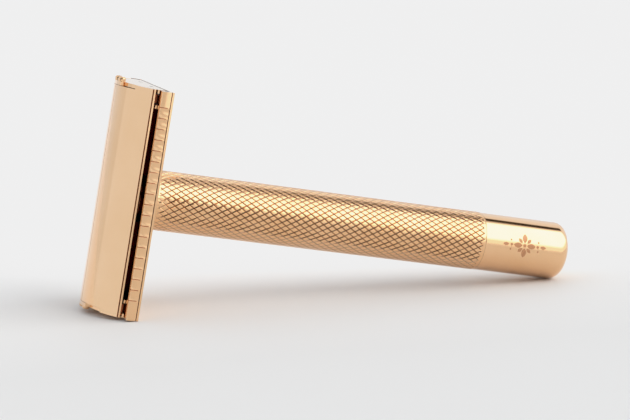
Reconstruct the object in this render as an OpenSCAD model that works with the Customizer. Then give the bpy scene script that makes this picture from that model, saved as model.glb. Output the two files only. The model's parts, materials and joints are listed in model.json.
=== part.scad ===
// Twist-to-open double-edge safety razor, lying on its head and its knob.
// Each sub-part is drawn in the razor's own axes and then laid down:
//   X runs down the handle from the ridge where the doors meet,
//   Y runs across the blade, Z runs along the blade.

/* [Handle] */
// Length from the ridge of the head to the end of the knob
razor_len = 100.9; // [92:0.1:112]
// Diameter over the knurled grip
grip_d = 12; // [11.5:0.1:13]
// Distance from the ridge to the parting line of grip and knob
grip_end = 81.5; // [78:0.1:84]
// Diameter of the smooth twist knob
knob_d = 11.9; // [11:0.1:12.4]
// Edge radius at the end of the knob
knob_edge = 2.2; // [1:0.1:3]
// Bore through the handle tube
tube_bore_d = 7.4; // [7:0.1:8]

/* [Head] */
// Length of the head along the blade
head_len = 44.8; // [44.6:0.1:46]
// Distance from the ridge to the back of the guard
head_depth = 9; // [8.8:0.1:9.4]
// Width over the two guard bars
guard_w = 25.2; // [25:0.1:27]
// Distance from the ridge to the front edge of the guard bars
guard_front = 6.4; // [6.3:0.1:6.6]
// Number of scallops along each guard bar
scallops = 18; // [12:1:22]
// Pitch of the scallops
scallop_pitch = 2.1; // [1.6:0.05:2.1]
// Depth of a scallop
scallop_depth = 0.16; // [0.05:0.01:0.2]

/* [Doors] */
// Distance from the middle of the head to a door's clamping edge
door_reach = 10.5; // [10.3:0.05:10.6]
// Thickness of a door
door_t = 0.8; // [0.6:0.05:0.8]
// Distance from the ridge to the hinge axis of the doors
hinge_x = 6.9; // [6.8:0.05:6.9]
// Distance from the middle of the head to the hinge axis of a door
hinge_y = 8.9; // [8.8:0.05:8.9]

/* [Lift] */
// Rise of the blade platform from closed to open
lift = 3.2; // [3:0.1:3.3]
// Travel of the platform for one turn of the knob
lead = 3.2; // [3:0.1:3.3]
// Side of the square lift stem
stem_w = 4.1; // [3.9:0.1:4.2]

/* [Hidden] */
$fn = 64;
over = 0.01;

// Half sizes
grip_r = grip_d / 2;
knob_r = knob_d / 2;
bore_r = tube_bore_d / 2;
head_half = head_len / 2;
guard_half = guard_w / 2;

// The razor lies on the lower back edge of the guard and on the knob's rounded edge
arc_x = razor_len - knob_edge;
arc_r = knob_r - knob_edge;
rest_a = arc_x - head_depth;
rest_b = head_half - arc_r;
tilt = asin(knob_edge / norm([rest_a, rest_b])) * -1 + atan2(rest_b, rest_a);
stand_z = head_depth * sin(tilt) + head_half * cos(tilt);

// Studs on the end plates are the ends of the bounding box on the head's side
stud_h = 0.9;
stud_r = 0.75;
stud_x = 1.3;
stud_y = 1.2;
box_low_x = (stud_x - stud_r) * cos(tilt) - (head_half + 0.6 * stud_h) * sin(tilt);
box_high_x = arc_x * cos(tilt) + arc_r * sin(tilt) + knob_edge;
shift_x = -(box_low_x + box_high_x) / 2;

// Stations down the handle
collar_r = 5.3;
tube_start = head_depth + 1.4;
washer_t = 0.3;
knob_start = grip_end + 0.06;
rod_r = 1.5;
rod_start = 30;
rod_end = knob_start + 9.6;
bushing_len = 6;
clip_t = 0.5;
bushing_start = grip_end - washer_t - bushing_len;
clip_end = bushing_start - washer_t - 0.1;

// Guard tray
floor_top = 8.35;
bar_inner = 11.2;
back_edge_r = 0.6;
flange_r = 4.8;
flange_t = 0.75;
bushing_end = 15.5;
slide_gap = 0.1;

// Lift and screw
nut_top = bushing_end + 0.3 + lift;
nut_len = 6;
nut_r = 2.9;
socket_depth = 1.5;
stem_top = 5;
stem_bore_top = 7.5;
stem_bore_r = 1.65;
screw_top = 12;
thread_mid_r = 1.3;
thread_wave = 0.15;
thread_gap = 0.12;

// Blade platform
bed_x = 4.4;
bed_drop = 0.95;
bed_half = 8.2;
bed_t = 0.8;
bed_len = 37;
bed_end_half = 6.5;
flange_x = 7.6;

// End plates
plate_t = 0.75;
plate_in = head_half - plate_t;
plate_back = 8.1;
crown_half = 2.4;
step_y = 6.95;
short_half = plate_in - 0.15;
ear_out = plate_in - 0.2;
ear_in = ear_out - 1.7;
pin_r = 0.5;
pin_gap = 0.06;
ear_r = 1.2;
lug_y = 10.55;
lug_z = 19.1;

GOLD = [0.87, 0.68, 0.52];
BRASS = [0.80, 0.62, 0.36];
STEEL = [0.72, 0.72, 0.73];
NYLON = [0.90, 0.88, 0.83];

// The doors' outer surface: distance from the ridge plane at a distance y from the middle
function skin(y) = 0.5 + y * y / 23.5;
// The blade bed's surface
function bed(y) = bed_x + bed_drop * pow(y / bed_half, 2);
// Evenly spaced values from a to b
function steps(a, b, n) = [for (i = [0:n]) a + (b - a) * i / n];
// Points on an arc about c
function arc(c, r, a0, a1, n) =
    [for (a = steps(a0, a1, n)) c + r * [cos(a), sin(a)]];

// Lays the razor down, with the origin under the middle of the box around it
module lay() {
    translate([shift_x, 0, stand_z]) rotate([0, tilt, 0]) children();
}

// A round part about the handle's axis: points are [radius, x]
module turned(points) {
    rotate([0, 90, 0]) rotate_extrude() polygon(points);
}

// A plain ring about the handle's axis
module ring(x0, x1, r_in, r_out) {
    turned([[r_in, x0], [r_out, x0], [r_out, x1], [r_in, x1]]);
}

// A rod about the handle's axis
module rod(x0, x1, r) {
    translate([x0, 0, 0]) rotate([0, 90, 0]) cylinder(r = r, h = x1 - x0);
}

// A block centred on Y and Z
module bar(x0, x1, wy, wz) {
    translate([x0, -wy / 2, -wz / 2]) cube([x1 - x0, wy, wz]);
}

// An outline in X and Y, drawn from z0 to z1
module slab(z0, z1) {
    translate([0, 0, z0]) linear_extrude(z1 - z0) children();
}

// Copies for both ends of the head
module both_ends() {
    children();
    mirror([0, 0, 1]) children();
}

// Copies for both sides of the head
module both_sides() {
    children();
    mirror([0, 1, 0]) children();
}

// Two-start rounded thread, right-handed, grown by gap
module thread(x0, x1, gap) {
    turns = (x1 - x0) / lead;
    outline = [for (a = [0:22.5:337.5])
        (thread_mid_r + gap + thread_wave * cos(2 * (a - 360 * x0 / lead))) * [cos(a), sin(a)]];
    translate([x0, 0, 0]) rotate([0, 90, 0])
        linear_extrude(x1 - x0, twist = -360 * turns, slices = ceil(16 * turns), $fn = 16)
            polygon(outline);
}

module handle_tube() {
    edge = 0.4;
    end_r = knob_r - 0.03;
    color(GOLD) lay() turned([
        [bore_r, tube_start], [grip_r - edge, tube_start], [grip_r, tube_start + edge],
        [grip_r, grip_end - edge], [end_r, grip_end], [bore_r, grip_end]]);
}

module neck_collar() {
    color(GOLD) lay() ring(head_depth, tube_start, bore_r, collar_r);
}

// Cross-section of the guard: a shallow tray with two upright bars
module guard_outline() {
    slope = 0.35;
    half = concat(
        [[floor_top, 0], [floor_top, bar_inner], [guard_front + slope, bar_inner],
         [guard_front, guard_half - 0.15], [guard_front + 0.15, guard_half]],
        arc([head_depth - back_edge_r, guard_half - back_edge_r], back_edge_r, 90, 0, 6),
        [[head_depth, 0]]);
    polygon(half);
    mirror([0, 1]) polygon(half);
}

module guard_plate() {
    scallop_r = (pow(scallop_pitch / 2, 2) + pow(scallop_depth, 2)) / (2 * scallop_depth);
    color(GOLD) lay() {
        difference() {
            slab(-head_half, head_half) guard_outline();
            rod(floor_top - 1, head_depth + 1, bore_r);
            both_sides()
                for (i = [0:scallops - 1])
                    translate([0, guard_half - scallop_depth + scallop_r,
                               (i - (scallops - 1) / 2) * scallop_pitch])
                        rod(guard_front - 1, head_depth - back_edge_r, scallop_r);
        }
        // Lugs that stop the blade from sliding lengthwise
        both_ends() both_sides()
            translate([5.98, lug_y - 0.35, lug_z - 0.35])
                cube([floor_top - 5.98 + over, 0.7, 0.7]);
    }
}

module guide_bushing() {
    hole = stem_w + 2 * slide_gap;
    color(BRASS) lay() difference() {
        turned([[0, floor_top - flange_t], [flange_r, floor_top - flange_t],
                [flange_r, floor_top], [bore_r, floor_top], [bore_r, bushing_end],
                [0, bushing_end]]);
        bar(floor_top - flange_t - 1, bushing_end + 1, hole, hole);
    }
}

module tail_bushing() {
    color(BRASS) lay() ring(bushing_start, bushing_start + bushing_len, rod_r + pin_gap, bore_r);
}

module thrust_washer() {
    color(NYLON) lay() ring(bushing_start + bushing_len, grip_end, rod_r + 0.2, bore_r);
}

module knob() {
    edge = 0.05;
    color(GOLD) lay() turned(concat(
        [[0, rod_end], [rod_r, rod_end], [rod_r, knob_start], [knob_r - edge, knob_start],
         [knob_r, knob_start + edge]],
        arc([arc_r, arc_x], knob_edge, 0, 90, 16),
        [[0, razor_len]]));
}

module drive_rod() {
    neck_r = rod_r - 0.3;
    color(STEEL) lay() turned([
        [0, rod_start], [rod_r, rod_start], [rod_r, clip_end - clip_t],
        [neck_r, clip_end - clip_t], [neck_r, clip_end], [rod_r, clip_end],
        [rod_r, rod_end], [0, rod_end]]);
}

module drive_screw() {
    color(STEEL) lay() thread(screw_top, rod_start, 0);
}

// Open ring that snaps into the rod's groove
module retaining_ring() {
    color(STEEL) lay() difference() {
        ring(clip_end - clip_t, clip_end, rod_r - 0.3, 2.9);
        translate([clip_end - clip_t - 1, -0.9, 0]) cube([clip_t + 2, 1.8, 4]);
    }
}

module wave_washer() {
    color(STEEL) lay() ring(clip_end, clip_end + washer_t, rod_r + 0.1, 3.3);
}

module lift_stem() {
    color(BRASS) lay() difference() {
        bar(stem_top, nut_top + socket_depth, stem_w, stem_w);
        rod(stem_bore_top, nut_top + socket_depth + 1, stem_bore_r);
        rod(stem_top - 1, 7.2, 0.8);
    }
}

module drive_nut() {
    color(BRASS) lay() difference() {
        rod(nut_top, nut_top + nut_len, nut_r);
        bar(nut_top - 1, nut_top + socket_depth, stem_w, stem_w);
        thread(nut_top + socket_depth - 0.5, nut_top + nut_len + 0.5, thread_gap);
    }
}

// Cross-section of the crowned blade bed out to a half width
module bed_outline(half) {
    ys = steps(-half, half, 16);
    polygon(concat(
        [for (y = ys) [bed(y), y]],
        [for (i = [len(ys) - 1:-1:0]) [bed(ys[i]) + bed_t, ys[i]]]));
}

module blade_platform() {
    color(GOLD) lay() difference() {
        union() {
            slab(-bed_len / 2, bed_len / 2) bed_outline(bed_half);
            slab(-plate_in, plate_in) bed_outline(bed_end_half);
            // Turned-down ends that carry the end plates
            both_ends()
                translate([bed_x + bed_t, -bed_end_half, plate_in - 0.8])
                    cube([flange_x - bed_x - bed_t, 2 * bed_end_half, 0.8]);
        }
        bar(stem_top, stem_top + 2, stem_w, stem_w);
        turned([[0, bed_x - 1], [1.6, bed_x - 1], [1.6, bed_x + 0.1], [0.8, bed_x + 0.6],
                [0.8, 6], [0, 6]]);
        both_ends() post_holes();
        both_ends() both_sides() translate([6.5, 4, 20]) cylinder(r = pin_r, h = 3);
    }
}

// Holes for the locating posts
module post_holes() {
    translate([0, 0, 14]) rod(bed_x - 1, 6, 1);
}

module platform_screw() {
    color(STEEL) lay() difference() {
        turned([[0, bed_x], [1.6, bed_x], [1.6, bed_x + 0.1], [0.8, bed_x + 0.6],
                [0.8, 7.1], [0, 7.1]]);
        bar(bed_x - 1, bed_x + 0.25, 4, 0.4);
    }
}

// Two posts that fill the ends of the blade's slot
module locating_posts() {
    color(STEEL) lay() both_ends() translate([0, 0, 14])
        turned([[0, bed_x - 1.1], [0.9, bed_x - 1.1], [1.4, bed_x - 0.7], [1.4, bed_x],
                [1, bed_x], [1, bed_x + bed_t], [0, bed_x + bed_t]]);
}

// Outline of an end plate: crown at the ridge, then under the doors to the hinge bosses
module end_outline() {
    under = door_t + 0.2;
    half = concat(
        [for (y = steps(0, crown_half, 4)) [skin(y) + 0.05, y]],
        [for (y = steps(crown_half, 8.2, 8)) [skin(y) + under, y]],
        arc([hinge_x, hinge_y], ear_r, 150, 45, 7),
        [[plate_back, 9.9], [plate_back, 0]]);
    polygon(half);
    mirror([0, 1]) polygon(half);
}

// End plate for the upper end, with its two studs at the ridge
module end_plate() {
    difference() {
        slab(plate_in, head_half) end_outline();
        both_sides() translate([hinge_x, hinge_y, 20]) cylinder(r = pin_r, h = 5);
        both_sides() translate([6.5, 4, 20]) cylinder(r = pin_r, h = 5);
    }
    both_sides() translate([stud_x, stud_y, head_half - over])
        rotate_extrude() polygon(concat([[0, 0], [stud_r, 0]],
            arc([stud_r - 0.45, stud_h - 0.45], 0.45, 0, 90, 6), [[0, stud_h]]));
}

module end_plate_upper() {
    color(GOLD) lay() end_plate();
}

module end_plate_lower() {
    color(GOLD) lay() mirror([0, 0, 1]) end_plate();
}

module platform_rivets() {
    color(STEEL) lay() both_ends() both_sides() translate([6.5, 4, plate_in - 0.8]) {
        cylinder(r = pin_r, h = 0.8 + plate_t);
        translate([0, 0, -0.4]) cylinder(r = 0.9, h = 0.4);
    }
}

module hinge_pins() {
    color(STEEL) lay() both_ends() both_sides() translate([hinge_x, hinge_y, ear_in - 0.2])
        cylinder(r = pin_r, h = head_half - 0.05 - ear_in + 0.2);
}

// Cross-section of one door, from the parting line to the clamping edge
module door_outline() {
    inner = 0.075;
    bend = 9.6;
    lip = 5.8;
    polygon(concat(
        [for (y = steps(inner, door_reach - 0.12, 20)) [skin(y), y]],
        [[skin(door_reach) + 0.08, door_reach], [lip - 0.08, door_reach],
         [lip, door_reach - 0.1]],
        [for (y = steps(bend, inner, 20)) [skin(y) + door_t, y]]));
}

// Hinge ear of a door: a round eye with a web up to the door
module ear_outline() {
    difference() {
        union() {
            polygon([[hinge_x, hinge_y - ear_r], [skin(hinge_y - ear_r) + 0.4, hinge_y - ear_r],
                     [skin(9.9) + 0.4, 9.9], [hinge_x, hinge_y + ear_r]]);
            translate([hinge_x, hinge_y]) circle(ear_r);
        }
        translate([hinge_x, hinge_y]) circle(pin_r + pin_gap);
    }
}

module door() {
    difference() {
        slab(-head_half, head_half) door_outline();
        both_ends() translate([-1, -1, short_half]) cube([10, step_y + 1, 5]);
    }
    both_ends() slab(ear_in, ear_out) ear_outline();
}

module door_near() {
    color(GOLD) lay() mirror([0, 1, 0]) door();
}

module door_far() {
    color(GOLD) lay() door();
}

handle_tube();
neck_collar();
guard_plate();
guide_bushing();
tail_bushing();
thrust_washer();
knob();
drive_rod();
drive_screw();
retaining_ring();
wave_washer();
lift_stem();
drive_nut();
blade_platform();
platform_screw();
locating_posts();
end_plate_upper();
end_plate_lower();
platform_rivets();
hinge_pins();
door_near();
door_far();
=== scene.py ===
import json
import math

import bmesh
import bpy
import numpy as np
from mathutils import Matrix, Vector


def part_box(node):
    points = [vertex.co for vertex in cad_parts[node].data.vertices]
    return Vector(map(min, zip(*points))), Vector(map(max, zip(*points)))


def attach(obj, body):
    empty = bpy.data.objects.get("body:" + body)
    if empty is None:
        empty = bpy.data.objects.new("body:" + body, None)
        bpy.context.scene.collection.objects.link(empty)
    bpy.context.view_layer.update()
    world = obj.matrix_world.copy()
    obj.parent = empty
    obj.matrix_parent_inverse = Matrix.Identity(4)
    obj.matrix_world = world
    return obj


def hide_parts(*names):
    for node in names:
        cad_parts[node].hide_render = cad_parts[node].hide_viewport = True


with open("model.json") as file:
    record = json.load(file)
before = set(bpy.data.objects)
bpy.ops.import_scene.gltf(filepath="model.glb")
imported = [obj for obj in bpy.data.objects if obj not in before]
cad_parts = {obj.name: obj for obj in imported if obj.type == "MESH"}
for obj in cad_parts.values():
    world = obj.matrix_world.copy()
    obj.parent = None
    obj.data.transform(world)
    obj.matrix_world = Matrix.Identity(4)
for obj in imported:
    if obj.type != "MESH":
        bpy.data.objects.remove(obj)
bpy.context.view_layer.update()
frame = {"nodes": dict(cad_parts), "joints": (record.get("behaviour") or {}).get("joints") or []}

scene = bpy.context.scene
MM = 0.001

# ---------------------------------------------------------------------------
# The razor's own axes, in millimetres: u runs down the handle from the ridge
# where the doors meet, v across the blade (the near door is at -v), w along it.
# ---------------------------------------------------------------------------
joints = {j["name"]: j for j in frame["joints"]}
TWIST_STATION = 90.0  # how far down the handle the knob's joint is placed
axis_u = Vector(joints["knob_twist"]["axis"]).normalized()
axis_v = Vector((0, 1, 0))
axis_w = axis_u.cross(axis_v)
ridge = Vector(joints["knob_twist"]["pos_m"]) - axis_u * TWIST_STATION * MM
RAZOR = Matrix.Translation(ridge) @ Matrix((axis_u, axis_v, axis_w)).transposed().to_4x4()


def station(node, side):
    """How far down the handle a CAD node starts (side 0) or ends (side 1), in mm."""
    inverse = RAZOR.inverted()
    us = [(inverse @ v.co).x / MM for v in frame["nodes"][node].data.vertices]
    return (min(us), max(us))[side]


def radius(node):
    """The largest distance of a CAD node from the handle's axis, in mm."""
    inverse = RAZOR.inverted()
    points = [inverse @ v.co for v in frame["nodes"][node].data.vertices]
    return max(math.hypot(p.y, p.z) for p in points) / MM


RAZOR_LEN = station("knob", 1)
GRIP_R = radius("handle_tube")
GRIP_START = station("handle_tube", 0)
GRIP_END = station("handle_tube", 1)
KNOB_R = radius("knob")
HEAD_BACK = station("guard_plate", 1)
GUARD_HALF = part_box("guard_plate")[1].y / MM
HEAD_HALF = 22.4
BORE_R = 3.7
KNURL_STARTS = 31  # grooves of each hand around the grip
KNURL_PITCH = 1.95  # length of a diamond along the grip
KNURL_DEPTH = 0.15


# ---------------------------------------------------------------------------
# Mesh helpers
# ---------------------------------------------------------------------------
def smoothstep(a, b, x):
    t = np.clip((x - a) / (b - a), 0.0, 1.0)
    return t * t * (3 - 2 * t)


def arc(cu, cv, r, a0, a1, n):
    """Points (u, v) on a circle about (cu, cv), from a0 to a1 degrees."""
    angles = [math.radians(a0 + (a1 - a0) * i / n) for i in range(n + 1)]
    return [(cu + r * math.cos(a), cv + r * math.sin(a)) for a in angles]


def spread(a, b, n):
    """The n + 1 values from a to b in n equal steps."""
    return [a + (b - a) * k / n for k in range(n + 1)]


def disc(x, y, r):
    """A circle as an outline."""
    sides = 24
    return [(x + p, y + q) for p, q in arc(0, 0, r, 0, 360 * (sides - 1) / sides, sides - 1)]


def piece(name, verts, faces, body, slot, material, sharp=40):
    """A mesh given in razor millimetres, as an object that rides on a body."""
    mesh = bpy.data.meshes.new(name)
    mesh.from_pydata([tuple(float(c) * MM for c in v) for v in verts], [], faces)
    mesh.transform(RAZOR)
    mesh.validate()
    work = bmesh.new()
    work.from_mesh(mesh)
    bmesh.ops.recalc_face_normals(work, faces=work.faces)
    work.to_mesh(mesh)
    work.free()
    obj = bpy.data.objects.new(name, mesh)
    scene.collection.objects.link(obj)
    mesh.shade_smooth()
    mesh.set_sharp_from_angle(angle=math.radians(sharp))
    mesh.materials.append(material)
    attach(obj, body)
    return obj


def line(obj, inside):
    """Gives the faces whose middle (u, v, w) passes the test the dark inside metal, whose colour is
    painted shade.
    """
    obj.data.materials.append(inner_shade_gold)
    inverse = RAZOR.inverted()
    for face in obj.data.polygons:
        if inside(*(inverse @ face.center / MM)):
            face.material_index = 1


def bevel(obj, width, segments=3, angle=35):
    """Rounds the edges of a piece, width in mm."""
    mod = obj.modifiers.new("edge", "BEVEL")
    mod.width = width * MM
    mod.segments = segments
    mod.limit_method = "ANGLE"
    mod.angle_limit = math.radians(angle)
    mod.harden_normals = True
    mod.use_clamp_overlap = False
    return obj


def lathe(profile, segments):
    """Turns (u, r) points about the handle's axis; a point on the axis closes the end."""
    verts, rings = [], []
    for u, r in profile:
        if r == 0:
            rings.append([len(verts)])
            verts.append((u, 0, 0))
            continue
        rings.append(list(range(len(verts), len(verts) + segments)))
        for k in range(segments):
            a = 2 * math.pi * k / segments
            verts.append((u, r * math.cos(a), r * math.sin(a)))
    faces = []
    for one, two in zip(rings, rings[1:]):
        for k in range(segments):
            n = (k + 1) % segments
            quad = [one[k % len(one)], one[n % len(one)], two[n % len(two)], two[k % len(two)]]
            faces.append(tuple(dict.fromkeys(quad)))
    return verts, faces


def slab(outline, w0, w1):
    """Extrudes an outline of (u, v) points from w0 to w1."""
    n = len(outline)
    verts = [(u, v, w) for w in (w0, w1) for u, v in outline]
    faces = [(k, (k + 1) % n, n + (k + 1) % n, n + k) for k in range(n)]
    faces += [tuple(range(n)), tuple(range(2 * n - 1, n - 1, -1))]
    return verts, faces


def joined(*shapes):
    """Several closed shapes as the parts of one mesh."""
    verts, faces = [], []
    for v, f in shapes:
        faces += [tuple(i + len(verts) for i in face) for face in f]
        verts += list(v)
    return verts, faces


def taken(work):
    """The vertices and faces of a bmesh, with the faces in the same order on every run."""
    work.verts.index_update()
    verts = [tuple(v.co) for v in work.verts]
    faces = []
    for face in work.faces:
        ring = [v.index for v in face.verts]
        k = ring.index(min(ring))
        faces.append(tuple(ring[k:] + ring[:k]))
    work.free()
    return verts, sorted(faces)


# ---------------------------------------------------------------------------
# Materials
# ---------------------------------------------------------------------------
CLOUD = 130  # noise scales: cloudy colour, wiped gloss, fine scratches, the rings of a turned face
WIPE = 260
HAIR = 900
RING = 5200
HAIR_HEIGHT = 2e-6  # metres
RING_HEIGHT = 4e-6
COAT_ROUGH = 0.04
GROOVE_SHADE_FULL = 0.65  # shares of the knurl's depth: painted shade, with some dirt, from here inwards
GROOVE_SHADE_NONE = 0.15  # and none from here outwards


class Nodes:
    """A short way to write a node tree."""

    def __init__(self, tree):
        self.tree = tree
        tree.nodes.clear()

    def add(self, kind, **settings):
        node = self.tree.nodes.new(kind)
        for key, value in settings.items():
            setattr(node, key, value)
        return node

    def link(self, a, b):
        self.tree.links.new(a, b)

    def math(self, operation, a, b=None, c=None):
        node = self.add("ShaderNodeMath", operation=operation)
        for k, x in enumerate((a, b, c)):
            if x is None:
                continue
            if isinstance(x, (int, float)):
                node.inputs[k].default_value = x
            else:
                self.link(x, node.inputs[k])
        return node.outputs[0]

    def razor_place(self):
        """The point's place in the razor's own axes, in metres."""
        mapping = self.add("ShaderNodeMapping", vector_type="TEXTURE")
        mapping.inputs["Location"].default_value = RAZOR.translation
        mapping.inputs["Rotation"].default_value = RAZOR.to_euler()
        self.link(self.add("ShaderNodeTexCoord").outputs["Object"], mapping.inputs["Vector"])
        return mapping.outputs["Vector"]

    def noise(self, vector, scale, detail=3.0, stretch=None):
        if stretch:
            mapping = self.add("ShaderNodeMapping")
            mapping.inputs["Scale"].default_value = stretch
            self.link(vector, mapping.inputs["Vector"])
            vector = mapping.outputs["Vector"]
        node = self.add("ShaderNodeTexNoise")
        node.inputs["Scale"].default_value = scale
        node.inputs["Detail"].default_value = detail
        self.link(vector, node.inputs["Vector"])
        return node.outputs["Fac"]

    def span(self, value, low, high, start=0.0, end=1.0):
        """Maps value from start..end to low..high, held at both ends."""
        node = self.add("ShaderNodeMapRange")
        node.inputs["From Min"].default_value = start
        node.inputs["From Max"].default_value = end
        node.inputs["To Min"].default_value = low
        node.inputs["To Max"].default_value = high
        self.link(value, node.inputs["Value"])
        return node.outputs["Result"]

    def blend(self, factor, one, two):
        node = self.add("ShaderNodeMix", data_type="RGBA")
        self.link(factor, node.inputs["Factor"])
        for colour, socket in ((one, node.inputs["A"]), (two, node.inputs["B"])):
            if isinstance(colour, tuple):
                socket.default_value = (*colour, 1)
            else:
                self.link(colour, socket)
        return node.outputs["Result"]

    def bump(self, height, strength, distance, normal=None):
        node = self.add("ShaderNodeBump")
        node.inputs["Strength"].default_value = strength
        node.inputs["Distance"].default_value = distance
        self.link(height, node.inputs["Height"])
        if normal:
            self.link(normal, node.inputs["Normal"])
        return node.outputs["Normal"]


def surface(name):
    """A new material with its nodes and its shader."""
    material = bpy.data.materials.new(name)
    material.use_nodes = True
    n = Nodes(material.node_tree)
    out = n.add("ShaderNodeOutputMaterial")
    shader = n.add("ShaderNodeBsdfPrincipled")
    n.link(shader.outputs["BSDF"], out.inputs["Surface"])
    return material, n, shader


def metal(name, colour, deep, rough, smudge=0.05, rings=0.0, scratches=0.2, coat=0.0,
          groove_shade_and_soil=None, edge=None):
    """Plated or turned metal: smudged gloss, fine scratches and, if turned, fine rings.
    The groove colour argument gives the knurl's grooves painted shade with some dirt; edge is the tint
    of glancing reflections."""
    material, n, shader = surface(name)
    shader.inputs["Metallic"].default_value = 1.0
    shader.inputs["Coat Weight"].default_value = coat
    shader.inputs["Coat Roughness"].default_value = COAT_ROUGH
    if edge:
        shader.inputs["Specular Tint"].default_value = (*edge, 1)
    place = n.razor_place()
    cloud = n.noise(place, CLOUD, 4)
    base = n.blend(n.span(cloud, 0, 1, 0.35, 0.65), deep, colour)
    # Painted shade, with some dirt: the knurl's grooves turn darker towards their bottoms
    if groove_shade_and_soil:
        split = n.add("ShaderNodeSeparateXYZ")
        n.link(place, split.inputs["Vector"])
        y, z = split.outputs[1:]
        r = n.math("SQRT", n.math("ADD", n.math("MULTIPLY", y, y), n.math("MULTIPLY", z, z)))
        full, none = ((GRIP_R - share * KNURL_DEPTH) * MM for share in (GROOVE_SHADE_FULL, GROOVE_SHADE_NONE))
        base = n.blend(n.span(r, 1, 0, full, none), base, groove_shade_and_soil)
    n.link(base, shader.inputs["Base Color"])
    wiped = n.noise(place, WIPE, 5, stretch=(1.0, 2.4, 2.4))
    n.link(n.span(wiped, rough, rough + smudge, 0.45, 0.75), shader.inputs["Roughness"])
    hairs = n.noise(place, HAIR, 2, stretch=(0.25, 3.0, 0.6))
    normal = n.bump(hairs, scratches, HAIR_HEIGHT)
    if rings:
        turned = n.noise(place, RING, 1, stretch=(1.0, 0.0, 0.0))
        normal = n.bump(turned, rings, RING_HEIGHT, normal)
    n.link(normal, shader.inputs["Normal"])
    return material


def plastic(name, colour, deep, rough):
    """Moulded nylon: a faint mottle and an orange-peel surface."""
    material, n, shader = surface(name)
    place = n.razor_place()
    n.link(n.blend(n.noise(place, 800, 4), deep, colour), shader.inputs["Base Color"])
    n.link(n.span(n.noise(place, 1500, 3), rough, rough + 0.15), shader.inputs["Roughness"])
    n.link(n.bump(n.noise(place, 3000, 2), 0.2, 1e-5), shader.inputs["Normal"])
    return material


ROSE = (0.87, 0.535, 0.285)
ROSE_DEEP = (0.85, 0.515, 0.265)
polished = metal("polished_rose_gold", ROSE, ROSE_DEEP, 0.07, coat=1.0)
# Its groove colour is painted shade in the knurl's grooves, with some dirt
knurled = metal("knurled_rose_gold", (0.87, 0.52, 0.265), (0.84, 0.48, 0.225), 0.08,
                coat=0.9, groove_shade_and_soil=(0.36, 0.21, 0.13))
# Painted shade: the dark maroon colour and dark glancing tint of this inside metal stand for the shade
# deep in the head, between the doors and in seams and nicks; its higher roughness is a duller finish.
inner_shade_gold = metal("inner_painted_shade_gold", (0.32, 0.095, 0.045), (0.26, 0.07, 0.03), 0.22, smudge=0.1,
              edge=(0.30, 0.07, 0.04))
etched = metal("etched_rose_gold", (0.60, 0.32, 0.18), (0.54, 0.28, 0.15), 0.5, scratches=0.6)
brass = metal("turned_brass", (0.78, 0.58, 0.30), (0.72, 0.52, 0.26), 0.22, rings=0.4)
steel = metal("turned_steel", (0.60, 0.60, 0.61), (0.52, 0.52, 0.53), 0.24, rings=0.4)
nylon = plastic("brown_nylon", (0.16, 0.09, 0.055), (0.12, 0.065, 0.04), 0.45)


# ---------------------------------------------------------------------------
# Knurled grip
# ---------------------------------------------------------------------------
KNURL_CUT = (1.0, 0.1, 0.0, 0.0, 0.0)  # share of the depth, from groove to crest
KNURL_RUN_IN = 0.8  # length over which the grooves start, at the head
KNURL_RUN_OUT = 0.9  # and end, at the knob
FIRST_DEPTH = 0.6  # share of the depth near the head, which grows to 1 over this stretch
FIRST_STRETCH = (1.0, 4.0)
TUBE_CHAMFER = 0.4
PLAIN_END = 0.2  # plain ring before the knob
LIP_R = 0.03  # fine rounding where the grip meets the knob


def grip():
    """A tube whose rows and columns meet every groove, so the diamonds are real facets."""
    sub = len(KNURL_CUT) - 1
    columns = 2 * KNURL_STARTS * sub
    step = KNURL_PITCH / 2 / sub
    crest_start = GRIP_START + TUBE_CHAMFER
    crest_end = GRIP_END - PLAIN_END
    first = math.ceil(crest_start / step) + 1
    last = math.floor(crest_end / step) - 1
    rows = np.arange(first, last + 1)
    i, j = np.meshgrid(np.arange(columns), rows)
    u = j * step

    def cut(n):
        """The groove's depth at lattice line n: nearest whole diamond edge."""
        away = np.abs(n - 2 * sub * np.round(n / (2 * sub)))
        return np.interp(away, range(sub + 1), KNURL_CUT)

    depth = np.maximum(cut(i + j), cut(i - j)) * KNURL_DEPTH
    near, far = (GRIP_START + at for at in FIRST_STRETCH)
    depth *= FIRST_DEPTH + (1 - FIRST_DEPTH) * smoothstep(near, far, u)
    depth *= smoothstep(crest_start, crest_start + KNURL_RUN_IN, u)
    depth *= smoothstep(crest_end, crest_end - KNURL_RUN_OUT, u)
    r = GRIP_R - depth
    a = 2 * math.pi * i / columns

    def ring(at, size):
        return np.stack([np.full(columns, at), size * np.cos(a[0]), size * np.sin(a[0])], -1)

    wall = np.stack([u, r * np.cos(a), r * np.sin(a)], -1)
    before = [ring(GRIP_START, GRIP_R - TUBE_CHAMFER), ring(crest_start, GRIP_R)]
    after = [ring(crest_end, GRIP_R), ring(GRIP_END - LIP_R, KNOB_R), ring(GRIP_END, KNOB_R - LIP_R)]
    bore = [ring(GRIP_END, BORE_R), ring(GRIP_START, BORE_R)]
    grid = np.concatenate([before, wall, after, bore])
    total = len(grid)
    faces = []
    for row in range(total):
        nxt = (row + 1) % total
        knurl = 2 <= row < 1 + len(rows)
        for c in range(columns):
            d = (c + 1) % columns
            p = (row * columns + c, row * columns + d, nxt * columns + d, nxt * columns + c)
            if not knurl:
                faces.append(p)
                continue
            across = (c // sub + (rows[row - 2]) // sub) % 2
            if across:
                faces += [(p[0], p[1], p[3]), (p[1], p[2], p[3])]
            else:
                faces += [(p[0], p[1], p[2]), (p[0], p[2], p[3])]
    return grid.reshape(-1, 3), faces


tube = piece("grip_knurled", *grip(), "handle", "grip_gold", knurled, sharp=28)
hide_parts("handle_tube")

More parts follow.
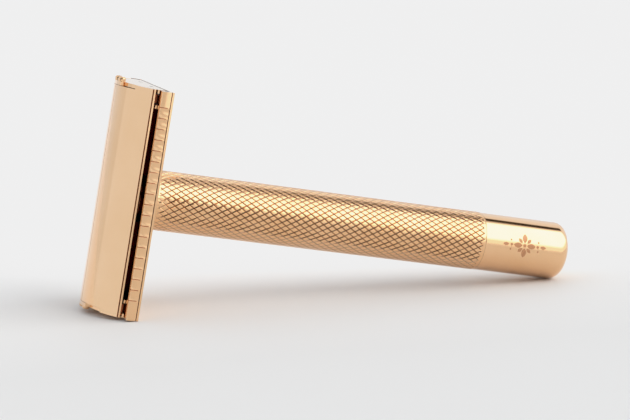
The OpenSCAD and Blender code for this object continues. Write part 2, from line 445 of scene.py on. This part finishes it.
# ---------------------------------------------------------------------------
# Knob, with a plain etched ornament on the side that faces the camera
# ---------------------------------------------------------------------------
KNOB_EDGE = 2.2  # radius of its rounded end
KNOB_GAP = 0.01  # between the grip and the knob
SHADE_RING = 0.2  # extra rings this far inside the side's ends keep its reflections straight
ROD_R = 1.5
ROD_END = station("drive_rod", 1)


def knob_shape():
    start = GRIP_END + KNOB_GAP
    edge_start = RAZOR_LEN - KNOB_EDGE
    socket = [(ROD_END, 0), (ROD_END, ROD_R), (start, ROD_R)]
    lip = arc(start + LIP_R, KNOB_R - LIP_R, LIP_R, 180, 90, 4)
    side = [(GRIP_END + SHADE_RING, KNOB_R), (edge_start - SHADE_RING, KNOB_R)]
    edge = arc(edge_start, KNOB_R - KNOB_EDGE, KNOB_EDGE, 90, 0, 24)
    return lathe(socket + lip + side + edge + [(RAZOR_LEN, 0)], 256)


knob = piece("knob_body", *knob_shape(), "knob", "polished_gold", polished, sharp=30)
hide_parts("knob")

MARK_STATION = 90.2
MARK_TURN = math.radians(-9)  # upwards from the middle of the near side
MARK_LIFT = 0.006  # how far the plates stand above the knob and reach into it
MARK_SINK = 0.05
BEND_STEP = 0.25  # the plates bend in strips this wide
BEND_STEPS = 12


def wrapped(outlines, centre, turn):
    """Flat outlines of (along, around) mm as thin plates bent around the knob."""
    work = bmesh.new()
    for outline in outlines:
        ring = [work.verts.new((a, s, 0)) for a, s in outline]
        work.faces.new(ring)
    for k in range(-BEND_STEPS, BEND_STEPS + 1):
        everything = work.verts[:] + work.edges[:] + work.faces[:]
        bmesh.ops.bisect_plane(work, geom=everything, plane_co=(0, BEND_STEP * k, 0), plane_no=(0, 1, 0))
    top = work.verts[:]
    made = bmesh.ops.extrude_face_region(work, geom=work.faces[:])
    under = [g for g in made["geom"] if isinstance(g, bmesh.types.BMVert)]
    for group, r in ((top, KNOB_R + MARK_LIFT), (under, KNOB_R - MARK_SINK)):
        for v in group:
            angle = math.pi + turn - v.co.y / KNOB_R
            v.co = (centre + v.co.x, r * math.cos(angle), r * math.sin(angle))
    return taken(work)


def petal(angle, start, end, half):
    """A leaf from start to end along an angle in degrees, half wide at the middle."""
    a = math.radians(angle)
    there = spread(0, 1, 6)
    points = []
    for side, path in ((1, there), (-1, there[-2:0:-1])):
        for t in path:
            along = start + (end - start) * t
            wide = side * half * math.sin(math.pi * t) ** 0.8
            points.append((along * math.cos(a) - wide * math.sin(a),
                           along * math.sin(a) + wide * math.cos(a)))
    return points


# Eight leaves about a dot, and on both sides of them three dots and a leaf, in mm
mark = [petal(a, 0.5, 2.5, 0.56) for a in range(0, 360, 90)]
mark += [petal(a, 0.75, 2.0, 0.36) for a in range(45, 360, 90)]
mark += [disc(0, 0, 0.36)]
for side, towards in ((1, 0), (-1, 180)):
    mark += [disc(2.95 * side, 0, 0.3), petal(towards, 3.5, 4.9, 0.34)]
    mark += [disc(3.1 * side, lift, 0.2) for lift in (-0.95, 0.95)]
plates = wrapped(mark, MARK_STATION, MARK_TURN)
piece("knob_ornament", *plates, "knob", "polished_gold", etched, sharp=30)

# ---------------------------------------------------------------------------
# Doors
# ---------------------------------------------------------------------------
DOOR_T = 0.8
DOOR_REACH = 10.5
RIDGE_U = 0.5  # where the doors' outer surface starts, and how strongly it curves
SKIN_CURVE = 23.5
PARTING = 0.075  # half the gap between the doors
LIP_U = 5.8
LIP_IN = 9.75  # where the lip's underside ends and the inside starts
INSIDE_OUT = 9.5
STEP_V = 6.95  # from here to the parting a door is shorter, to SHORT_HALF
SHORT_HALF = 21.6
EDGE_R = 0.12
GROOVE_T = 0.22  # the line along the door's edge: depth, width and slope of its sides
GROOVE_LEN = 0.2
GROOVE_SLOPE = 0.03
SKIN_STEPS = 16
EDGE_STEPS = 10
HINGE_U = 6.9
HINGE_V = 8.9
EYE_R = 1.2
EYE_HOLE_R = 0.56
EYE_IN = 19.75  # the eyes' inner and outer faces
EYE_OUT = 21.45


def skin(v):
    """The doors' outer surface: how far below the ridge plane it is at v."""
    return RIDGE_U + v * v / SKIN_CURVE


def door_outline():
    """A door's section from the parting line outwards, round the edge and back underneath."""
    turn = DOOR_REACH - EDGE_R
    outer = spread(PARTING, STEP_V, SKIN_STEPS) + spread(STEP_V, turn, EDGE_STEPS)[1:]
    edge = arc(skin(turn) + EDGE_R, turn, EDGE_R, 137, 90, 4)
    top = edge[-1][0]
    foot = DOOR_REACH - GROOVE_T
    groove = [(top + GROOVE_SLOPE, foot), (top + GROOVE_LEN - GROOVE_SLOPE, foot)]
    lip = [(top + GROOVE_LEN, DOOR_REACH), (LIP_U, DOOR_REACH), (LIP_U, LIP_IN)]
    under = spread(INSIDE_OUT, STEP_V, 8) + spread(STEP_V, PARTING, SKIN_STEPS)[1:]
    return ([(skin(v), v) for v in outer] + edge + groove + lip
            + [(skin(v) + DOOR_T, v) for v in under])


def door_painted_shade(u, v, w):
    """The inside of a door, and the groove along its edge: these faces get painted shade."""
    inside = u > skin(v) + 0.5 and abs(v) < DOOR_REACH - 0.5 and abs(w) < SHORT_HALF - 0.1
    foot = DOOR_REACH - GROOVE_T
    groove = skin(v) < u < LIP_U - 0.3 and foot - 0.01 < abs(v) < DOOR_REACH - 0.05
    return inside or groove


def door(name, side, body, node):
    outline = door_outline()
    n = len(outline)
    step_out = SKIN_STEPS  # the outline's points at the step, on the outside and underneath
    step_in = n - SKIN_STEPS - 1
    stations = (-HEAD_HALF, -SHORT_HALF, SHORT_HALF, HEAD_HALF)
    verts = [(u, side * v, w) for w in stations for u, v in outline]

    def at(station, k):
        return station * n + k % n

    # The sides: all round the middle stretch, and only beyond the step at the ends
    faces = []
    for s in range(3):
        for k in range(n):
            if s == 1 or step_out <= k < step_in:
                faces.append((at(s, k), at(s, k + 1), at(s + 1, k + 1), at(s + 1, k)))
    # The wall of the step, the short end and the far end
    for s, far in ((1, 0), (2, 3)):
        faces.append((at(s, step_out), at(far, step_out), at(far, step_in), at(s, step_in)))
        faces.append(tuple(at(s, k) for k in [*range(0, step_out + 1), *range(step_in, n)]))
        faces.append(tuple(at(far, k) for k in range(step_out, step_in + 1)))
    used = sorted({i for f in faces for i in f})
    number = {old: new for new, old in enumerate(used)}
    verts = [verts[i] for i in used]
    faces = [tuple(number[i] for i in f) for f in faces]
    obj = piece(name, verts, faces, body, "polished_gold", polished, sharp=30)
    # Painted shade on the door's inside and on the groove along its edge
    line(obj, door_painted_shade)
    bevel(obj, 0.05, 2, 38)
    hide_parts(node)


def ears(name, side, body):
    """A door's two hinge eyes, with the webs that join them to the door."""
    web = [(skin(v) + 0.4, v) for v in (HINGE_V - EYE_R, 9.9)]
    solid = arc(HINGE_U, HINGE_V, EYE_R, 90, -90, 20) + web
    hole = disc(HINGE_U, HINGE_V, EYE_HOLE_R)
    shapes = []
    for end in (-1, 1):
        w0, w1 = sorted((end * EYE_IN, end * EYE_OUT))
        work = bmesh.new()
        loops = []
        for points in (solid, hole):
            ring = [work.verts.new((u, side * v, w0)) for u, v in points]
            loops.append([work.edges.new((ring[k], ring[(k + 1) % len(ring)]))
                          for k in range(len(ring))])
        bmesh.ops.triangle_fill(work, edges=loops[0] + loops[1], use_beauty=True)
        made = bmesh.ops.extrude_face_region(work, geom=work.faces[:])
        for g in made["geom"]:
            if isinstance(g, bmesh.types.BMVert):
                g.co.z = w1
        shapes.append(taken(work))
    # The eyes sit inside the head and get the dark inside metal: painted shade
    bevel(piece(name, *joined(*shapes), body, "polished_gold", inner_shade_gold, sharp=30), 0.05, 2)


door("door_shell_near", -1, "near_door", "door_near")
door("door_shell_far", 1, "far_door", "door_far")
ears("door_ears_near", -1, "near_door")
ears("door_ears_far", 1, "far_door")

# ---------------------------------------------------------------------------
# Guard: a tray with two upright bars, scalloped along their outer faces
# ---------------------------------------------------------------------------
FLOOR_TOP = 8.35
BAR_INNER = 11.2
GUARD_FRONT = 6.4
SCALLOPS = 18
SCALLOP_PITCH = 2.1
SCALLOP_DEPTH = 0.06
SCALLOP_SHIFT = 0.4
SCALLOP_STEPS = 8
NOTCH_HALF = 0.07  # the nick at each cusp: half width, depth, and how far it runs
NOTCH_T = 0.07
NOTCH_FADE = 7.5
NOTCH_END = 8.0
FACE_LEAN = 6.0  # degrees
END_PAD = 0.3  # plain stretch at each end
RIM = 0.6  # the plate's edge behind the bars, its setback and rounding, and the seam's depth
RIM_BACK = 0.05
RIM_R = 0.12
SEAM_T = 0.45
SEAM_LEN = 0.15


def scallop(w):
    """How deep the bars' outer face is cut at w."""
    w = w - SCALLOP_SHIFT
    reach = SCALLOPS * SCALLOP_PITCH / 2
    if abs(w) >= reach:
        return 0.0
    across = (w + reach) % SCALLOP_PITCH - SCALLOP_PITCH / 2
    half = SCALLOP_PITCH / 2
    r = (half**2 + SCALLOP_DEPTH**2) / (2 * SCALLOP_DEPTH)
    return SCALLOP_DEPTH - r + math.sqrt(r * r - across * across)


def in_notch(w):
    """Whether w is inside the nick at one of the cusps."""
    k = (w - SCALLOP_SHIFT) / SCALLOP_PITCH + SCALLOPS / 2
    return abs(k - round(k)) * SCALLOP_PITCH < NOTCH_HALF and 0 <= round(k) <= SCALLOPS


def guard_section(w, notch):
    """One half of the tray's section at w, from the middle of its floor round the bar."""
    face = GUARD_HALF - scallop(w)
    nick = face - notch
    # The crest is nearly flat, then rounds over into the outer face
    crest = [(GUARD_FRONT, BAR_INNER), (GUARD_FRONT + 0.06, GUARD_HALF - 0.5)]
    crest += [(GUARD_FRONT + 0.1, face - 0.12), (GUARD_FRONT + 0.16, face - 0.03)]
    crest += [(GUARD_FRONT + 0.23, nick)]
    end = HEAD_BACK - RIM
    lean = math.tan(math.radians(FACE_LEAN))
    side = [(NOTCH_FADE, nick), (NOTCH_END, face), (end, face - lean * (end - NOTCH_END))]
    foot = GUARD_HALF - SEAM_T
    edge = GUARD_HALF - RIM_BACK
    seam = [(end + 0.02, foot), (end + SEAM_LEN - 0.01, foot), (end + SEAM_LEN + 0.01, edge)]
    rim = arc(HEAD_BACK - RIM_R, edge - RIM_R, RIM_R, 90, 0, 6)
    return [(FLOOR_TOP, 0), (FLOOR_TOP, BAR_INNER)] + crest + side + seam + rim + [(HEAD_BACK, 0)]


def guard():
    """The section swept along w, with a station on each side of every nick."""
    cusps = [SCALLOP_SHIFT + (k - SCALLOPS / 2) * SCALLOP_PITCH for k in range(SCALLOPS + 1)]
    stations = [(-HEAD_HALF, 0.0), (-HEAD_HALF + END_PAD, 0.0)]
    for a in cusps:
        stations += [(a - NOTCH_HALF, 0.0), (a, NOTCH_T), (a + NOTCH_HALF, 0.0)]
        if a != cusps[-1]:
            stations += [(w, 0.0) for w in spread(a, a + SCALLOP_PITCH, SCALLOP_STEPS)[1:-1]]
    stations += [(HEAD_HALF - END_PAD, 0.0), (HEAD_HALF, 0.0)]
    rings = []
    for w, notch in stations:
        half = guard_section(w, notch)
        other = [(u, -v) for u, v in reversed(half[1:-1])]
        rings.append([(u, v, w) for u, v in half + other])
    n = len(rings[0])
    verts = [p for ring in rings for p in ring]
    faces = [(s * n + k, s * n + (k + 1) % n, (s + 1) * n + (k + 1) % n, (s + 1) * n + k)
             for s in range(len(rings) - 1) for k in range(n)]
    faces += [tuple(range(n)), tuple(range((len(rings) - 1) * n, len(rings) * n))]
    return verts, faces


def guard_painted_shade(u, v, w):
    """The tray's floor and inside walls, the seam behind the bars, and the nicks: these faces get
    painted shade.
    """
    inside = u < FLOOR_TOP + 0.05 and abs(v) < BAR_INNER + 0.01 and abs(w) < HEAD_HALF - 0.2
    seam = 0 < u - (HEAD_BACK - RIM) < SEAM_LEN and abs(v) > BAR_INNER
    nick = u < NOTCH_END - 0.2 and abs(v) > BAR_INNER + 0.5 and in_notch(w)
    return inside or seam or nick


guard_obj = piece("guard_tray", *guard(), "handle", "polished_gold", polished, sharp=25)
# Painted shade in the tray, the seam and the nicks
line(guard_obj, guard_painted_shade)
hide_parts("guard_plate")

# The lugs that stop the blade from sliding lengthwise
LUG_HALF = 0.35
LUG_TOP = 5.98
LUG_V = 10.55
LUG_W = 19.1


def lug(v, w):
    ends = ((LUG_TOP, -1), (LUG_TOP, 1), (FLOOR_TOP + 0.01, 1), (FLOOR_TOP + 0.01, -1))
    return slab([(u, v + side * LUG_HALF) for u, side in ends], w - LUG_HALF, w + LUG_HALF)


lugs = [lug(v, w) for v in (-LUG_V, LUG_V) for w in (-LUG_W, LUG_W)]
bevel(piece("guard_lugs", *joined(*lugs), "handle", "polished_gold", polished, sharp=30), 0.08, 3)

# ---------------------------------------------------------------------------
# End plates with their studs
# ---------------------------------------------------------------------------
PLATE_IN = 21.65
CROWN_HALF = 2.4  # the middle is nearly flush with the doors' skin
SHOULDER_V = 8.2  # from there to here the plate lies below the doors
PLATE_BACK = 8.1
PLATE_HALF = 9.9
STUD_V = 1.2
STUD_U = 1.3
STUD_R = 0.75
STUD_DOME = 0.45
STUD_TALL = 0.9
STUD_SHORT = 0.6  # the lower pair hardly shows in the photograph


def stud(v, end):
    """A domed stud on the end face."""
    top = HEAD_HALF + (STUD_TALL if end > 0 else STUD_SHORT)
    root = HEAD_HALF - 0.05
    shoulder = top - STUD_DOME
    profile = [(root, 0), (root, STUD_R), (shoulder, STUD_R)]
    profile += arc(shoulder, STUD_R - STUD_DOME, STUD_DOME, 90, 0, 10)[1:] + [(top, 0)]
    verts, faces = lathe(profile, 48)
    return [(STUD_U + y, v + z, end * x) for x, y, z in verts], faces


def end_plate(name, end, node):
    half = [(skin(v) + 0.05, v) for v in spread(0, CROWN_HALF, 6)]
    half += [(skin(v) + DOOR_T + 0.2, v) for v in spread(CROWN_HALF, SHOULDER_V, 10)]
    half += arc(HINGE_U, HINGE_V, EYE_R, 150, 45, 10) + [(PLATE_BACK, PLATE_HALF)]
    outline = half + [(u, -v) for u, v in reversed(half[1:])]
    plate = slab(outline, *sorted((end * PLATE_IN, end * HEAD_HALF)))
    obj = piece(name, *plate, "lift", "polished_gold", polished, sharp=30)
    # The plate's face towards the doors gets the dark inside metal: painted shade
    line(obj, lambda u, v, w: abs(w) < PLATE_IN + 0.01)
    bevel(obj, 0.02, 2)
    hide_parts(node)
    studs = joined(stud(-STUD_V, end), stud(STUD_V, end))
    piece(name + "_studs", *studs, "lift", "polished_gold", polished, sharp=30)


end_plate("end_cap_upper", 1, "end_plate_upper")
end_plate("end_cap_lower", -1, "end_plate_lower")

# ---------------------------------------------------------------------------
# CAD nodes that keep their shape: softer edges and their own metal
# ---------------------------------------------------------------------------
KEPT = {
    # blade_platform and guide_bushing get the dark inside metal: painted shade
    "neck_collar": polished, "blade_platform": inner_shade_gold,
    "guide_bushing": inner_shade_gold, "tail_bushing": brass, "lift_stem": brass, "drive_nut": brass,
    "drive_rod": steel, "drive_screw": steel, "retaining_ring": steel, "wave_washer": steel,
    "platform_screw": steel, "locating_posts": steel, "platform_rivets": steel,
    "hinge_pins": steel, "thrust_washer": nylon,
}
THREADED = ("drive_screw", "drive_nut")  # their threads are rounded already
for name, material in KEPT.items():
    obj = frame["nodes"][name]
    obj.data.materials.clear()
    obj.data.materials.append(material)
    weld = obj.modifiers.new("weld", "WELD")
    weld.merge_threshold = 1e-7
    if name not in THREADED:
        bevel(obj, 0.04, 2)

# ---------------------------------------------------------------------------
# Stage: a plain pale floor, soft studio light, the photograph's viewing angle
# ---------------------------------------------------------------------------
FLOOR_SIZE = 8.0
PAPER_FRONT = 0.825  # the paper's colour in front of the razor and behind it, darker in front: painted shade
PAPER_BACK = 0.965
PAPER_TURN = 0.05  # it changes from y = minus this to y = plus this, in metres


def floor():
    """A sheet of paper with painted shade, darker in front, and a faint mottle."""
    mesh = bpy.data.meshes.new("floor")
    h = FLOOR_SIZE / 2
    mesh.from_pydata([(-h, -h, 0), (h, -h, 0), (h, h, 0), (-h, h, 0)], [], [(0, 1, 2, 3)])
    obj = bpy.data.objects.new("floor", mesh)
    scene.collection.objects.link(obj)
    material, n, shader = surface("floor_paper")
    shader.inputs["Roughness"].default_value = 0.7
    shader.inputs["Specular IOR Level"].default_value = 0.2
    place = n.add("ShaderNodeTexCoord").outputs["Object"]
    split = n.add("ShaderNodeSeparateXYZ")
    n.link(place, split.inputs["Vector"])
    mottle = n.span(n.noise(place, 3, 3), 0.98, 1.0, 0.3, 0.7)
    # Painted shade: the paper darkens towards the camera as if less light fell there
    painted_falloff_shade = n.span(split.outputs[1], PAPER_FRONT, PAPER_BACK, -PAPER_TURN, PAPER_TURN)
    shade = n.math("MULTIPLY", painted_falloff_shade, mottle)
    n.link(n.blend(shade, (0.0, 0.0, 0.0), (1.0, 0.995, 0.99)), shader.inputs["Base Color"])
    mesh.materials.append(material)


floor()

# Panels of the studio by direction, in degrees: azimuth from +Y towards +X and its half width,
# elevation and its half width, softness of the edges; then the colour. Later ones cover earlier ones.
WALL = (0.93, 0.96, 0.99)
PANELS = [
    ("ceiling", 0, 180, 80, 24, 14, (0.72, 0.72, 0.73)),
    ("back wall", 20, 30, 4, 20, 8, (0.83, 0.83, 0.82)),
    ("back left wall", -38, 24, 12, 34, 10, (0.80, 0.85, 0.90)),
    ("left wall", -80, 20, 5, 16, 3, (0.88, 0.96, 1.06)),
    ("softbox spill", 124, 36, 6, 9, 6, (1.3, 1.26, 1.2)),
    ("key softbox", 124, 36, 37, 22, 10, (2.5, 2.48, 2.42)),
    ("room behind the camera", -150, 46, 24, 17, 6, (0.05, 0.035, 0.03)),
    ("dark gap", 62, 15, 51, 3.5, 3, (0.05, 0.04, 0.03)),
]


def studio():
    """A pale room with the panels in it."""
    world = bpy.data.worlds.new("studio")
    world.use_nodes = True
    scene.world = world
    n = Nodes(world.node_tree)
    out = n.add("ShaderNodeOutputWorld")
    background = n.add("ShaderNodeBackground")
    n.link(background.outputs["Background"], out.inputs["Surface"])
    split = n.add("ShaderNodeSeparateXYZ")
    n.link(n.add("ShaderNodeTexCoord").outputs["Generated"], split.inputs["Vector"])
    x, y, z = split.outputs
    elevation = n.math("ARCSINE", z)
    colour = WALL
    for _, azimuth, half_az, height, half_el, soft, shade in PANELS:
        a = math.radians(azimuth)
        cos, sin = math.cos(a), math.sin(a)
        side = n.math("SUBTRACT", n.math("MULTIPLY", x, cos), n.math("MULTIPLY", y, sin))
        ahead = n.math("ADD", n.math("MULTIPLY", x, sin), n.math("MULTIPLY", y, cos))
        off_az = n.math("ABSOLUTE", n.math("ARCTAN2", side, ahead))
        off_el = n.math("ABSOLUTE", n.math("SUBTRACT", elevation, math.radians(height)))
        inside = None
        for off, half in ((off_az, half_az), (off_el, half_el)):
            edge = n.add("ShaderNodeMapRange", interpolation_type="SMOOTHSTEP")
            edge.inputs["From Min"].default_value = math.radians(half - soft / 2)
            edge.inputs["From Max"].default_value = math.radians(half + soft / 2)
            edge.inputs["To Min"].default_value = 1.0
            edge.inputs["To Max"].default_value = 0.0
            n.link(off, edge.inputs["Value"])
            cover = edge.outputs["Result"]
            inside = n.math("MULTIPLY", inside, cover) if inside else cover
        colour = n.blend(inside, colour, shade)
    n.link(colour, background.inputs["Color"])


studio()

# Window light on the floor in front of the razor, outside the picture: the metal mirrors it
POOL = Vector((0.10, -0.28, 0.6))
POOL_WATTS = 9
POOL_CONE = math.radians(25)
pool_data = bpy.data.lights.new("window_pool", "SPOT")
pool_data.energy = POOL_WATTS
pool_data.spot_size = POOL_CONE
pool_data.spot_blend = 0.9
pool_data.shadow_soft_size = 0.03
pool = bpy.data.objects.new("window_pool", pool_data)
pool.location = POOL
pool.visible_glossy = False
scene.collection.objects.link(pool)

# The camera stands where the photograph was taken from, found by matching the razor's outline
CAMERA_AT = Vector((-159.181, -461.336, 100.480)) * MM
CAMERA_TURN = (18.711, 9.671, -0.270)  # degrees: azimuth from +Y, downwards, roll
LENS = 139.69

camera_data = bpy.data.cameras.new("camera")
camera_data.sensor_width = 36
camera_data.lens = LENS
camera_data.clip_start = 0.01
camera_data.clip_end = 20
camera = bpy.data.objects.new("camera", camera_data)
scene.collection.objects.link(camera)
view_az, view_el, view_roll = (math.radians(d) for d in CAMERA_TURN)
look = Vector((math.sin(view_az) * math.cos(view_el), math.cos(view_az) * math.cos(view_el),
               -math.sin(view_el)))
turn = look.to_track_quat("-Z", "Y").to_matrix().to_4x4() @ Matrix.Rotation(view_roll, 4, "Z")
camera.matrix_world = Matrix.Translation(CAMERA_AT) @ turn
scene.camera = camera
scene.view_settings.view_transform = "Standard"

# The film's shoulder: highlights above a white floor fade to white instead of clipping
SHOULDER = [(0.0, 0.0), (0.45, 0.45), (0.85, 0.85), (1.1, 0.905), (1.5, 0.945), (2.2, 0.972)]
BRIGHTEST = 4.0
scene.view_settings.use_curve_mapping = True
mapping = scene.view_settings.curve_mapping
mapping.clip_max_x = BRIGHTEST
mapping.use_clip = True
film = mapping.curves[3]
film.points[0].location = SHOULDER[0]
film.points[1].location = (BRIGHTEST, 1.0)
for x, y in SHOULDER[1:]:
    film.points.new(x, y)
for point in film.points:
    point.handle_type = "VECTOR"
mapping.update()
